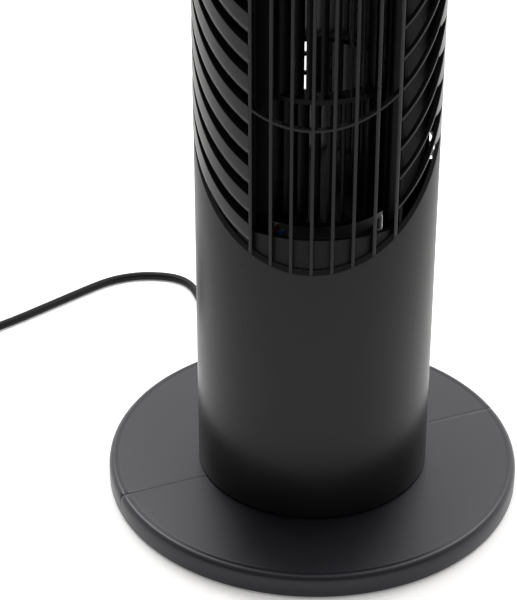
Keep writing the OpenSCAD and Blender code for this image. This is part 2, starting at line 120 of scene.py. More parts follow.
def outline(name, points):
    """A closed outline in the XZ plane, from (radius, height) points."""
    clear_bench()
    bpy.ops.mesh.primitive_circle_add(vertices=len(points), radius=MM, fill_type="NOTHING")
    piece = bpy.context.object
    piece.name = piece.data.name = name
    for v, (r, z) in zip(piece.data.vertices, points):
        v.co = (r * MM, 0, z * MM)
    return piece


def turned(name, points, f0=0.0, f1=360.0, steps=96):
    """The outline spun about the column's axis, from front angle f0 to f1, closed at both ends."""
    piece = outline(name, points)
    start = math.radians(f0 - 90)
    for v in piece.data.vertices:
        r = v.co.x
        v.co.x, v.co.y = r * math.cos(start), r * math.sin(start)
    edit(piece)
    bpy.ops.mesh.spin(steps=steps, angle=-math.radians(f1 - f0), center=(0, 0, 0), axis=(0, 0, 1))
    bpy.ops.mesh.select_all(action="SELECT")
    bpy.ops.mesh.remove_doubles(threshold=0.02 * MM)
    if f1 - f0 < 359.9:
        bpy.ops.mesh.fill_holes(sides=0)
    bpy.ops.mesh.select_all(action="SELECT")
    bpy.ops.mesh.normals_make_consistent(inside=False)
    done()
    return piece


def block(name, low, high):
    """A block between two corners."""
    clear_bench()
    bpy.ops.mesh.primitive_cube_add(size=1, location=(0, 0, 0))
    piece = bpy.context.object
    piece.name = piece.data.name = name
    for v in piece.data.vertices:
        v.co = [MM * (low[i] if v.co[i] < 0 else high[i]) for i in range(3)]
    return piece


def rod(name, x, y, z0, z1, r, sides=48):
    """An upright round rod."""
    clear_bench()
    bpy.ops.mesh.primitive_cylinder_add(vertices=sides, radius=r * MM, depth=(z1 - z0) * MM,
                                        location=(x * MM, y * MM, (z0 + z1) / 2 * MM))
    piece = bpy.context.object
    piece.name = piece.data.name = name
    bpy.ops.object.transform_apply(location=True, rotation=True, scale=True)
    return piece


def round_edges(piece, width, segments=2, angle=30):
    """A bevel on every sharp edge, applied."""
    take(piece)
    cut = piece.modifiers.new("round", "BEVEL")
    cut.width = width * MM
    cut.segments = segments
    cut.limit_method = "ANGLE"
    cut.angle_limit = math.radians(angle)
    bpy.ops.object.modifier_apply(modifier=cut.name)


def cut_out(piece, tool):
    """The tool's shape taken out of the piece, and the tool removed."""
    take(piece)
    cut = piece.modifiers.new("cut", "BOOLEAN")
    cut.operation = "DIFFERENCE"
    cut.solver = "EXACT"
    cut.object = tool
    bpy.ops.object.modifier_apply(modifier=cut.name)
    bpy.data.objects.remove(tool)


def slice_off(piece, height, above=True):
    """Cuts off what lies above, or below, the slanted plane that crosses the axis at the given height."""
    edit(piece)
    bpy.ops.mesh.bisect(plane_co=(0, 0, height * MM),
                        plane_no=(0, -math.sin(SLANT_ANGLE), math.cos(SLANT_ANGLE)),
                        use_fill=True, clear_outer=above, clear_inner=not above)
    done()


def joined(name, pieces):
    """The pieces as one, under a new name."""
    clear_bench()
    for p in pieces:
        p.select_set(True)
    bpy.context.view_layer.objects.active = pieces[0]
    if len(pieces) > 1:
        bpy.ops.object.join()
    pieces[0].name = pieces[0].data.name = name
    return pieces[0]


def place(piece, move=(0, 0, 0), turn=0.0):
    """Turns the piece about the upright axis, then moves it, in millimetres."""
    c, s = math.cos(turn), math.sin(turn)
    for v in piece.data.vertices:
        x, y, z = v.co
        v.co = (c * x - s * y + move[0] * MM, s * x + c * y + move[1] * MM, z + move[2] * MM)
    return piece


def lay_down(piece):
    """Tips an upright piece over, so that its top points along +Y."""
    for v in piece.data.vertices:
        x, y, z = v.co
        v.co = (x, z, -y)
    mend_normals(piece)


def twin(piece, move):
    """A copy with a mesh of its own, moved in millimetres."""
    take(piece)
    bpy.ops.object.duplicate(linked=False)
    return place(bpy.context.object, move)


def put_on(piece, body, finish, replaces=(), smooth=30):
    """Gives the piece its finish and its body, and the CAD nodes it stands for."""
    take(piece)
    piece.data.materials.clear()
    piece.data.materials.append(finish)
    if smooth:
        bpy.ops.object.shade_smooth_by_angle(angle=math.radians(smooth))
    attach(piece, body)
    if replaces:
        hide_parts(*replaces)


# ---------------------------------------------------------------- finishes

def link(tree, a, b):
    tree.links.new(a, b)


def new_finish(name):
    finish = bpy.data.materials.new(name)
    finish.use_nodes = True
    tree = finish.node_tree
    return finish, tree, tree.nodes["Principled BSDF"]


def noise(tree, where, scale, detail=2.0):
    n = tree.nodes.new("ShaderNodeTexNoise")
    n.inputs["Scale"].default_value = scale
    n.inputs["Detail"].default_value = detail
    n.inputs["Roughness"].default_value = 0.5
    link(tree, where, n.inputs["Vector"])
    return n.outputs["Fac"]


def spread(tree, value, low, high, v0=0.3, v1=0.7):
    """Maps a noise onto a range."""
    m = tree.nodes.new("ShaderNodeMapRange")
    m.inputs["From Min"].default_value = v0
    m.inputs["From Max"].default_value = v1
    m.inputs["To Min"].default_value = low
    m.inputs["To Max"].default_value = high
    link(tree, value, m.inputs["Value"])
    return m.outputs["Result"]


def two_tone(tree, value, dark, light):
    """Colours a noise from dark to light."""
    ramp = tree.nodes.new("ShaderNodeValToRGB")
    ramp.color_ramp.elements[0].position = 0.3
    ramp.color_ramp.elements[1].position = 0.7
    ramp.color_ramp.elements[0].color = (*dark, 1)
    ramp.color_ramp.elements[1].color = (*light, 1)
    link(tree, value, ramp.inputs["Fac"])
    return ramp.outputs["Color"]


def roughen(tree, shader, height, strength, distance):
    """A bump of the given depth, in millimetres."""
    bump = tree.nodes.new("ShaderNodeBump")
    bump.inputs["Strength"].default_value = strength
    bump.inputs["Distance"].default_value = distance * MM
    link(tree, height, bump.inputs["Height"])
    link(tree, bump.outputs["Normal"], shader.inputs["Normal"])


def moulded(name, colour, gloss, grain=0.7, relief=0.012, drift=0.12, shine=0.5, tint=(1, 1, 1)):
    """Moulded plastic: an even spark grain, with a slow drift of tone and gloss."""
    finish, tree, shader = new_finish(name)
    where = tree.nodes.new("ShaderNodeTexCoord").outputs["Object"]
    slow = noise(tree, where, 24, 3)
    fine = noise(tree, where, 1 / (grain * MM))
    shade = two_tone(tree, slow, [c * (1 - drift) for c in colour], [c * (1 + drift) for c in colour])
    link(tree, shade, shader.inputs["Base Color"])
    link(tree, spread(tree, slow, gloss - 0.03, gloss + 0.03), shader.inputs["Roughness"])
    roughen(tree, shader, fine, 0.5, relief)
    shader.inputs["Specular IOR Level"].default_value = shine
    shader.inputs["Specular Tint"].default_value = (*tint, 1)
    return finish


def metal(name, colour, gloss, scratch=(30, 30, 900), relief=0.004):
    """Plated or drawn metal, with fine lines along it."""
    finish, tree, shader = new_finish(name)
    where = tree.nodes.new("ShaderNodeTexCoord").outputs["Object"]
    stretch = tree.nodes.new("ShaderNodeMapping")
    stretch.inputs["Scale"].default_value = scratch
    link(tree, where, stretch.inputs["Vector"])
    lines = noise(tree, stretch.outputs["Vector"], 1.0, 4)
    cloud = noise(tree, where, 60, 3)
    shade = two_tone(tree, cloud, [c * 0.82 for c in colour], colour)
    link(tree, shade, shader.inputs["Base Color"])
    link(tree, spread(tree, lines, gloss - 0.07, gloss + 0.09), shader.inputs["Roughness"])
    roughen(tree, shader, lines, 0.4, relief)
    shader.inputs["Metallic"].default_value = 1.0
    return finish


column_black = moulded("column_black_plastic", (0.006, 0.006, 0.0062), 0.30, drift=0.08, shine=0.26)
base_black = moulded("base_black_plastic", (0.006, 0.0058, 0.008), 0.35, grain=0.8, shine=0.42,
                     tint=(0.92, 0.90, 1))
# The outlet sill gets a darker, less shiny copy of the black plastic: painted shade for the shadow the ribs
# cast on it.
sill_black_painted_shade = moulded("outlet_sill_plastic_painted_shade", (0.005, 0.005, 0.0052), 0.5, shine=0.15)
# Parts inside the column get a darker, duller copy of the black plastic: painted shade for the dark inside
# of the column.
duct_black_painted_shade = moulded("duct_plastic_shaded_dark", (0.0025, 0.0025, 0.0027), 0.7, shine=0.12)
impeller_black = moulded("impeller_black_plastic", (0.003, 0.003, 0.0036), 0.55, relief=0.006, shine=0.15)
cup_grey = moulded("motor_cup_grey_plastic", (0.10, 0.10, 0.10), 0.5)
key_grey = moulded("key_grey_plastic", (0.14, 0.14, 0.15), 0.38, grain=0.5, relief=0.006)
knob_black = moulded("knob_black_plastic", (0.02, 0.02, 0.022), 0.34, grain=0.5, relief=0.008)
panel_gloss = moulded("panel_gloss_plastic", (0.008, 0.008, 0.010), 0.10, grain=4, relief=0.004, drift=0.05)
pale_plastic = moulded("pale_plastic", (0.62, 0.61, 0.56), 0.45)
slippery_plastic = moulded("natural_acetal", (0.80, 0.79, 0.74), 0.35)
mark_white = moulded("mark_white_ink", (0.70, 0.70, 0.70), 0.55, grain=0.3, relief=0.004)
foot_rubber = moulded("foot_rubber", (0.018, 0.018, 0.018), 0.75, grain=0.4, relief=0.02)
cord_vinyl = moulded("cord_black_vinyl", (0.0045, 0.0045, 0.005), 0.45, grain=1.4, shine=0.16)
lead_red = moulded("lead_red_insulation", (0.42, 0.012, 0.012), 0.35, relief=0.004)
lead_blue = moulded("lead_blue_insulation", (0.02, 0.08, 0.42), 0.35, relief=0.004)
board_green = moulded("board_green_mask", (0.02, 0.12, 0.04), 0.3, grain=2, relief=0.01)
screw_steel = metal("screw_zinc_steel", (0.55, 0.55, 0.57), 0.32)
motor_steel = metal("motor_zinc_steel", (0.50, 0.51, 0.50), 0.38)
lamination = metal("motor_laminations", (0.22, 0.23, 0.25), 0.42, scratch=(8, 8, 1600), relief=0.02)
bush_bronze = metal("bush_sintered_bronze", (0.50, 0.32, 0.14), 0.5, scratch=(400, 400, 400))
pin_brass = metal("pin_nickelled_brass", (0.66, 0.60, 0.48), 0.25)


# ---------------------------------------------------------------- camera

# Place in metres, lens and sensor in millimetres
CAMERA_PLACE = (0.0455, -1.0962, 0.8075)
CAMERA_TILT = math.radians(58.08)
CAMERA_TURN = math.radians(4.11)
LENS, SENSOR_W = 130.68, 36


def set_camera():
    data = bpy.data.cameras.new("camera")
    camera = bpy.data.objects.new("camera", data)
    bpy.context.scene.collection.objects.link(camera)
    camera.location = CAMERA_PLACE
    camera.rotation_euler = (CAMERA_TILT, 0, CAMERA_TURN)
    data.sensor_width = SENSOR_W
    data.lens = LENS
    data.clip_start = 0.01
    data.clip_end = 50
    bpy.context.scene.camera = camera


set_camera()


# ---------------------------------------------------------------- cord

# The cord's route: down from the base, along the floor, and from the coil up into the plug
CORD_D = 5.6
EXIT = Vector((-BASE_R * math.sin(BASE_TURN), BASE_R * math.cos(BASE_TURN), 6.5))
RELIEF_L = 28.0
FLOOR_RUN = [(-67.3, 138, 6.5), (-72, 147.6, 6.3), (-76.5, 158, 5.4), (-80.5, 168.5, 4), (-84, 179, 3),
             (-88, 190, 2.8), (-92.5, 201.5, 2.8), (-98, 210.5, 2.8), (-105, 216, 2.8), (-113.5, 218.8, 2.8),
             (-122, 219.5, 2.8), (-131, 219, 2.8), (-139, 217.2, 2.8), (-147.5, 213.8, 2.8),
             (-155.5, 209, 2.8), (-163, 202.8, 2.8), (-178, 188.3, 2.8), (-192.6, 173.8, 2.8),
             (-207, 159.6, 2.8), (-221.5, 146.2, 2.8), (-229, 139.2, 3), (-236, 132.8, 3.4)]
TAIL = [(-312.8, 158, 9), (-312.4, 166, 8.6), (-311.6, 174, 8), (-310.4, 182, 7.5), (-309, 190, 7.1)]
COIL = Vector((-274, 151, 0))
COIL_ENTRY = (-243.5, 126, 3.7)
COIL_OUT, COIL_STEP = 39.0, 5.67
COIL_TURNS, LOWER_TURNS, POINTS_PER_TURN = 7.368, 4, 30
COIL_LOW, COIL_HIGH = 3.7, 9.35
ENTRY = math.radians(312.5)
TIE_TURN = math.radians(250)
PLUG = Vector((-309, 190.1, 7.05))
PLUG_TURN = math.radians(-10)


def ease(t):
    """A smooth step from 0 to 1."""
    t = min(max(t, 0.0), 1.0)
    return t * t * (3 - 2 * t)


def coil_points():
    """Four turns inwards on the floor, a climb, and the rest outwards on top."""
    points = []
    last = LOWER_TURNS - 1
    for i in range(1, int(COIL_TURNS * POINTS_PER_TURN)):
        n = i / POINTS_PER_TURN
        lap, part = divmod(n, 1)
        if lap < last:
            step, climb = lap + ease((part - 0.72) / 0.25), 0
        elif lap == last:
            step, climb = last, ease((part - 0.8) / 0.2)
        else:
            step, climb = last - (lap - LOWER_TURNS) - ease((part - 0.5) / 0.28), 1
        r = min(COIL_OUT - COIL_STEP * step, COIL_OUT)
        z = COIL_LOW + (COIL_HIGH - COIL_LOW) * climb
        a = ENTRY - 2 * math.pi * n
        points.append((COIL.x + r * math.cos(a), COIL.y + r * math.sin(a), z))
    return points


def make_cord():
    """The mains cord as one curve, and its length in metres."""
    points = FLOOR_RUN + [COIL_ENTRY] + coil_points() + TAIL
    data = bpy.data.curves.new("mains_cord_line", "CURVE")
    data.dimensions = "3D"
    data.bevel_depth = CORD_D / 2 * MM
    data.bevel_resolution = 4
    data.resolution_u = 2
    data.use_fill_caps = True
    line = data.splines.new("BEZIER")
    line.bezier_points.add(len(points) - 1)
    for b, p in zip(line.bezier_points, points):
        b.co = Vector(p) * MM
        b.handle_left_type = b.handle_right_type = "AUTO"
    cord = bpy.data.objects.new("mains_cord_line", data)
    bpy.context.scene.collection.objects.link(cord)
    data.materials.append(cord_vinyl)
    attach(cord, "base")
    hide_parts("mains_cord", "cord_coil")
    length = sum((Vector(b) - Vector(a)).length for a, b in zip(points, points[1:])) * MM
    return cord, length


def make_relief():
    """Ribbed sleeve that tapers along the cord from the base's wall."""
    ring = [(0, -4.5), (4.0, -4.5), (4.0, 0.4)]
    for i in range(7):
        z = 1.6 + i * 3.4
        r = 4.0 - 0.8 * z / RELIEF_L
        ring += [(r, z), (r, z + 1.9), (r - 0.55, z + 2.2), (r - 0.55, z + 3.1)]
    ring += [(3.2, RELIEF_L - 1.2), (3.0, RELIEF_L - 0.2), (2.7, RELIEF_L), (0, RELIEF_L)]
    piece = turned("strain_relief_sleeve", ring, steps=32)
    collar = turned("relief_collar", [(0, -7.2), (4.8, -7.2), (4.8, -4.3), (0, -4.3)], steps=32)
    piece = joined("strain_relief_sleeve", [piece, collar])
    lay_down(piece)
    place(piece, EXIT, BASE_TURN)
    put_on(piece, "base", cord_vinyl, ["strain_relief"])


def make_plug():
    """Two-pin plug with a waisted grip, lying at the end of the cord."""
    grip_start, grip_l = 11, 27
    body = block("plug_grip", (-12, grip_start, -7), (12, grip_start + grip_l, 7))
    edit(body)
    bpy.ops.mesh.subdivide(number_cuts=6)
    done()
    for v in body.data.vertices:
        t = (v.co.y / MM - grip_start) / grip_l
        dip = math.exp(-((t - 0.62) / 0.16) ** 2)
        v.co.x *= 1 - 0.48 * (1 - ease(t * 2.6)) - 0.10 * dip
        v.co.z *= 1 - 0.30 * (1 - ease(t * 2.2)) - 0.06 * dip
    round_edges(body, 1.6, 3, 40)
    neck = turned("plug_neck", [(0, 0), (3.1, 0), (3.7, 0.6), (3.7, 2.2), (3.3, 2.6), (3.3, 3.4), (4.1, 3.8),
                                (4.1, 5.4), (3.7, 5.8), (3.7, 6.6), (4.6, 7.0), (4.6, 8.8), (4.2, 9.2),
                                (4.2, 10), (5.0, 10.6), (5.2, 13.5), (0, 13.5)], steps=32)
    lay_down(neck)
    plug = joined("plug_with_grip", [body, neck])
    pins = []
    for x in (-6.35, 6.35):
        pin = block("plug_pin", (x - 0.75, 37.6, -3.15), (x + 0.75, 54.05, 3.15))
        soften(pin, 0.5, lambda a, b: a.y > 54 and b.y > 54)
        pins.append(pin)
    pins = joined("plug_pin_pair", pins)
    place(plug, PLUG, PLUG_TURN)
    place(pins, PLUG, PLUG_TURN)
    put_on(plug, "base", cord_vinyl, ["plug_body"], smooth=35)
    put_on(pins, "base", pin_brass, ["plug_pins"])
    return plug, pins


def make_tie():
    """Coated wire tie round the coil's turns."""
    tie = block("cord_tie_strap", (17.9, -3, 0), (43.1, 3, 13.2))
    hole = block("tie_hole", (18.9, -5, 0.75), (42.1, 5, 12.45))
    cut_out(tie, hole)
    round_edges(tie, 0.35, 2)
    twist = [rod("tie_twist", 44.6 + 1.1 * i, 0.9 * (-1) ** i, 9.5 + 1.6 * i, 11.6 + 1.8 * i, 0.9, 12)
             for i in range(3)]
    tie = joined("cord_tie_strap", [tie] + twist)
    place(tie, COIL, TIE_TURN)
    put_on(tie, "base", cord_vinyl, ["cord_tie"])
    return tie


cord, cord_length = make_cord()
make_relief()
plug, pins = make_plug()
tie = make_tie()


# ---------------------------------------------------------------- base

# Gap between the halves, and distance from the axis to the screw bosses
SEAM = 0.3
BOSS_PLACE = 90


def base_half(name, node, turn):
    """Half of the round base: flat top, raised rounded rim with a fine groove inside it."""
    section = [(18.1, 11.5), (18.1, 15.0), (118.4, 15.0), (119.2, 14.93), (119.9, 14.86), (120.6, 14.95),
               (121.2, 15.1), (121.9, 15.2), (122.6, 15.15), (123.5, 14.8), (124.3, 14.15), (124.95, 13.2),
               (125.3, 12.0), (125.5, 10.4), (125.5, 2.2), (125.2, 1.4), (124.6, 1.0), (121.5, 1.0),
               (121.5, 11.5)]
    half = turned(name, section, 90, 270, 96)
    edit(half)
    bpy.ops.mesh.bisect(plane_co=(0, SEAM / 2 * MM, 0), plane_no=(0, -1, 0), use_fill=True, clear_outer=True)
    done()
    soften(half, 0.3, lambda a, b: abs(a.y - SEAM / 2) < 0.02 and abs(b.y - SEAM / 2) < 0.02
           and min(a.z, b.z) >= 11.6 and min(abs(a.x), abs(b.x)) > 18.2)
    bosses = []
    for a in (30, 90, 150):
        x, y = BOSS_PLACE * math.cos(math.radians(a)), BOSS_PLACE * math.sin(math.radians(a))
        boss = rod("boss", x, y, 3, 11.9, 7, 24)
        cut_out(boss, rod("boss_hole", x, y, 2, 10, 1.7, 16))
        bosses.append(boss)
    half = joined(name, [half] + bosses)
    place(half, turn=turn)
    put_on(half, "base", base_black, [node])


base_half("base_half_rear", "base_rear_half", BASE_TURN)
base_half("base_half_front", "base_front_half", BASE_TURN + math.pi)


# ---------------------------------------------------------------- column shells

def on_slope(height):
    """A test for points on the slanted plane at the given height."""
    return lambda p: abs(p.z - height - SLANT * p.y) < 0.05


def front_shell(name, node, z0, z1, edge_z, above):
    """Half round front shell, cut off above or below its slanted edge, with that edge softened."""
    wall = [(INNER_R, z0), (COLUMN_R - 0.3, z0), (COLUMN_R, z0 + 0.3), (COLUMN_R, z1), (INNER_R, z1)]
    shell = turned(name, wall, -90, 90, 120)
    slice_off(shell, edge_z, above)
    on_edge = on_slope(edge_z)

    def outer(p):
        return on_edge(p) and math.hypot(p.x, p.y) > COLUMN_R - 1

    soften(shell, 0.45, lambda a, b: outer(a) and outer(b) and abs(a.y) + abs(b.y) > 0.5)
    put_on(shell, "column", column_black, [node])


front_shell("lower_shell_front", "lower_shell", SHELL_FOOT, 320, LOWER_EDGE, above=True)
front_shell("upper_shell_front", "upper_shell", 600, CAP_Z - 0.1, UPPER_EDGE, above=False)


# ---------------------------------------------------------------- outlet: ribs, rings and louvres

def rib(x):
    """One upright rib, its face on the column's round."""
    front = -math.sqrt(COLUMN_R ** 2 - x ** 2)
    bar = block("rib", (x - RIB_W / 2, front, 150), (x + RIB_W / 2, front + 3.4, 720))
    for v in bar.data.vertices:
        px, py, pz = v.co / MM
        if py < front + 1:
            v.co.y = -math.sqrt(COLUMN_R ** 2 - px ** 2) * MM
    slice_off(bar, UPPER_EDGE - 0.1)
    slice_off(bar, LOWER_EDGE + 0.1, above=False)
    soften(bar, 0.45, lambda a, b: abs(a.z - b.z) > 100)
    return bar


def sloped(piece):
    """Lifts a turned piece onto the louvres' slant."""
    for v in piece.data.vertices:
        r = math.hypot(v.co.x, v.co.y)
        v.co.z += SLANT * COLUMN_R * MM * v.co.y / r
    return piece


def rib_ring(i):
    """A ring across the ribs, in line with the given louvre."""
    z = LOWER_EDGE + i * LOUVRE_PITCH
    section = [(COLUMN_R - 3.2, z - 1.9), (COLUMN_R - 0.5, z - 1.9), (COLUMN_R - 0.05, z - 1.5),
               (COLUMN_R - 0.05, z - 0.45), (COLUMN_R - 0.5, z), (COLUMN_R - 3.2, z)]
    return sloped(turned("ring", section, LEFT_F - 0.8, RIGHT_F + 0.8, 48))


def grille():
    parts = [rib(x) for x in RIB_X] + [rib_ring(i) for i in (5, 15)]
    put_on(joined("outlet_ribs", parts), "column", column_black, ["front_ribs"])


def louvre_row(first, name, node):
    """Copies of the first piece, a louvre's pitch apart, from the lower shell's edge to the upper one's."""
    parts = [twin(first, (0, 0, i * LOUVRE_PITCH)) for i in range(1, LOUVRES)]
    bpy.data.objects.remove(first)
    put_on(joined(name, parts), "column", column_black, [node])


def left_louvres():
    """Broad cowls: flush at the top edge, drawn in and under at the bottom, most of all near the outlet."""
    flush = -7.5
    section = [(70.0, -0.35), (70.0, flush), (69.8, -9.6), (69.2, -11.4), (68.2, -12.8), (66.8, -13.9),
               (65.2, -14.6), (64.8, -13.7), (66.2, -12.8), (67.3, -11.5), (68.0, -9.8), (68.5, -7.6),
               (68.6, -1.4), (65.0, -1.4), (65.0, 0.0), (69.65, 0.0)]
    first = turned("cowl", section, -89.7, LEFT_F - 0.9, 24)
    for v in first.data.vertices:
        x, y, z = v.co / MM
        r = math.hypot(x, y)
        draw = ease(math.degrees(math.atan2(y, -x)) / -55)
        tuck = max(0, flush - z) ** 2 * 0.075 * (1 - draw)
        v.co.x *= (r + tuck) / r
        v.co.y *= (r + tuck) / r
        v.co.z = (LOWER_EDGE + z * (1 + 0.12 * (1 - draw))) * MM
    louvre_row(sloped(first), "left_cowls", "left_louvres")


def right_louvres():
    """Thin fins with softened edges."""
    section = [(67.6, -2.0), (69.6, -2.0), (70.0, -1.6), (70.0, -0.4), (69.6, 0.0), (67.6, 0.0)]
    first = sloped(turned("fin", [(r, LOWER_EDGE + z) for r, z in section], RIGHT_F + 0.9, 89.7, 24))
    louvre_row(first, "right_fins", "right_louvres")


def slot_webs():
    """Webs with a level lower edge, which close the rear end of each slot on the right."""
    level = -SLANT * COLUMN_R * math.cos(math.radians(70)) - 2.0
    first = turned("web", [(67.9, 0), (69.9, 0), (69.9, 1), (67.9, 1)], 71.5, 89.7, 12)
    for v in first.data.vertices:
        top = SLANT * COLUMN_R * v.co.y / math.hypot(v.co.x, v.co.y) - 2.1
        low = max(level, top - LOUVRE_PITCH + 2.2)
        v.co.z = MM * (LOWER_EDGE + (top if v.co.z > 0.5 * MM else low))
    louvre_row(first, "slot_end_webs", "slot_webs")


grille()
left_louvres()
right_louvres()
slot_webs()


# ---------------------------------------------------------------- rear casing

# Columns of slots, and the casing's screws, stand at front angles in degrees
SLOT_PITCH, SLOT_H, SLOT_FIRST, SLOT_ROWS = 12.45, 9.8, 142.0, 45
SLOT_COLUMNS = (100, 128, 154, 184, 210, 238)
SLOT_ARC = 22
POCKET = (718.0, 748.0)
POCKET_HALF = 40
SCREW_HEIGHTS = (60, 150, 225, 707, 750)
SCREW_F = 102


def rear_casing():
    """Rear half of the column: rows of slots and the hand hold's opening."""
    heights = [SHELL_FOOT, 60, 100]
    for i in range(SLOT_ROWS):
        z = SLOT_FIRST + i * SLOT_PITCH
        heights += [z, z + SLOT_H]
    heights += [*POCKET, CAP_Z - 0.1]
    clear_bench()
    bpy.ops.mesh.primitive_circle_add(vertices=len(heights), radius=MM, fill_type="NOTHING")
    casing = bpy.context.object
    casing.name = casing.data.name = "rear_casing_slotted"
    for v, z in zip(casing.data.vertices, heights):
        v.co = (COLUMN_R * MM, 0, z * MM)
    pick(casing, "EDGE", lambda a, b: abs(a.z - b.z) > 500)
    bpy.ops.mesh.delete(type="EDGE_FACE")
    bpy.ops.mesh.select_all(action="SELECT")
    bpy.ops.mesh.spin(steps=90, angle=-math.pi, center=(0, 0, 0), axis=(0, 0, 1))
    done()

    def in_opening(c, n):
        f = math.degrees(math.atan2(c.x, -c.y)) % 360
        if POCKET[0] < c.z < POCKET[1]:
            return abs(f - 180) < POCKET_HALF
        row = (c.z - SLOT_FIRST) / SLOT_PITCH
        if not 0 <= row < SLOT_ROWS or (row % 1) * SLOT_PITCH > SLOT_H:
            return False
        return any(a < f < a + SLOT_ARC for a in SLOT_COLUMNS)

    pick(casing, "FACE", in_opening)
    bpy.ops.mesh.delete(type="FACE")
    mend_normals(casing)
    if sum(p.normal.x * p.center.x + p.normal.y * p.center.y for p in casing.data.polygons) < 0:
        edit(casing)
        bpy.ops.mesh.flip_normals()
        done()
    for v in casing.data.vertices:
        if abs(v.co.y) < 0.01 * MM:
            v.co.y = 0.25 * MM
    take(casing)
    wall = casing.modifiers.new("wall", "SOLIDIFY")
    wall.thickness = 2.3 * MM
    wall.offset = -1
    bpy.ops.object.modifier_apply(modifier=wall.name)
    round_edges(casing, 0.3, 1, 50)
    for z in SCREW_HEIGHTS:
        for f in (math.radians(-SCREW_F), math.radians(SCREW_F)):
            clear_bench()
            centre = (MM * COLUMN_R * math.sin(f), -MM * COLUMN_R * math.cos(f), MM * z)
            bpy.ops.mesh.primitive_cylinder_add(vertices=24, radius=3.2 * MM, depth=12 * MM, location=centre,
                                                rotation=(math.pi / 2, 0, f))
            tool = bpy.context.object
            bpy.ops.object.transform_apply(location=True, rotation=True, scale=True)
            cut_out(casing, tool)
    put_on(casing, "column", column_black, ["rear_casing"])


rear_casing()


# ---------------------------------------------------------------- motor cup

def motor_cup():
    """Cup over the motor, with a rounded shoulder and a round hole in its lid."""
    wall = [(0, 99.2), (38.5, 99.2), (38.5, 183.2), (38.1, 185.2), (37, 186.5), (35.3, 187.0), (12.6, 187.0),
            (12.0, 186.4), (12.0, 184.9), (36.6, 184.9), (36.6, 100.6), (0, 100.6)]
    cup = turned("motor_cup_lidded", wall, steps=96)
    put_on(cup, "column", cup_grey, ["motor_cup"])


motor_cup()


# ---------------------------------------------------------------- top

KEY_X = (-36, -18, 0, 18, 36)
KEY_NODES = ("key_off", "key_low", "key_medium", "key_high", "key_swing")
KEY_Y, KEY_W, KEY_L = -26.0, 15.0, 10.0
KEY_GAP = 0.3
KEY_TOP = CAP_Z + 8 + 1.2 + 2.2
MARK_Z, MARK_H = KEY_TOP - 0.37, 0.1
KNOB_Y, KNOB_H = 12.0, 10.4
PANEL_Z = CAP_Z + 9.22


def control_tools(z0):
    """Tools for the holes of the five keys and of the knob's shaft, from the given height up."""
    z1 = CAP_Z + 30
    half_w, half_l = KEY_W / 2 + KEY_GAP, KEY_L / 2 + KEY_GAP
    keyholes = [block("key_tool", (x - half_w, KEY_Y - half_l, z0), (x + half_w, KEY_Y + half_l, z1))
                for x in KEY_X]
    return keyholes + [rod("knob_tool", 0, KNOB_Y, z0, z1, 4.5, 32)]


def top_cap():
    """Cap with a rounded shoulder, flush with the shells."""
    section = [(0, CAP_Z), (69.7, CAP_Z), (70, CAP_Z + 0.3), (70, CAP_Z + 2.0)]
    for a in range(12, 91, 13):
        section.append((64 + 6 * math.cos(math.radians(a)), CAP_Z + 2 + 6 * math.sin(math.radians(a))))
    section.append((0, CAP_Z + 8))
    cap = turned("top_cap_rounded", section, steps=120)
    for tool in control_tools(CAP_Z - 10):
        cut_out(cap, tool)
    put_on(cap, "column", column_black, ["top_cap"])


def control_panel():
    """Polished inlay with rounded corners, holes for the keys and a shallow ring round the knob."""
    panel = block("control_panel_inlay", (-54, -40, CAP_Z + 8.02), (54, 40, PANEL_Z))
    soften(panel, 10, lambda a, b: abs(a.z - b.z) > 0.5, segments=10)
    soften(panel, 0.4, lambda a, b: a.z > PANEL_Z - 0.01 and b.z > PANEL_Z - 0.01)
    for tool in control_tools(CAP_Z):
        cut_out(panel, tool)
    ring = turned("knob_recess", [(18.5, PANEL_Z - 0.4), (18.5, PANEL_Z), (17.8, PANEL_Z + 0.25),
                                  (17.1, PANEL_Z), (17.1, PANEL_Z - 0.4)], steps=64)
    place(ring, (0, KNOB_Y, 0))
    panel = joined("control_panel_inlay", [panel, ring])
    put_on(panel, "column", panel_gloss, ["control_panel"])


def dial_marks():
    """Ticks round the knob, longer where the timer starts."""
    marks = []
    for i in range(11):
        length = 4.0 if i == 0 else 2.4
        tick = block("tick", (20.5, -0.35, PANEL_Z - 0.05), (20.5 + length, 0.35, PANEL_Z + 0.08))
        marks.append(place(tick, (0, KNOB_Y, 0), math.radians(90 - i * 30)))
    put_on(joined("dial_ticks", marks), "column", mark_white, smooth=0)


def ring_mark(r, f0=0.0, f1=360.0, steps=32):
    """A flat ring or arc, 0.6 mm wide, that lies in a key's dish."""
    return turned("mark", [(r, MARK_Z), (r + 0.6, MARK_Z), (r + 0.6, MARK_Z + MARK_H), (r, MARK_Z + MARK_H)],
                  f0, f1, steps)


def dot_mark(x, y, r, sides):
    return rod("mark", x, y, MARK_Z, MARK_Z + MARK_H, r, sides)


def key_marks(n):
    """A ring for off, one to three dots for the speeds, an arc over a dot for the swing."""
    if n == 0:
        return [ring_mark(1.5)]
    if n < 4:
        return [dot_mark((k - (n - 1) / 2) * 2.6, 0, 0.75, 20) for k in range(n)]
    return [ring_mark(2.2, 120, 240, 20), dot_mark(0, -0.6, 0.6, 16)]


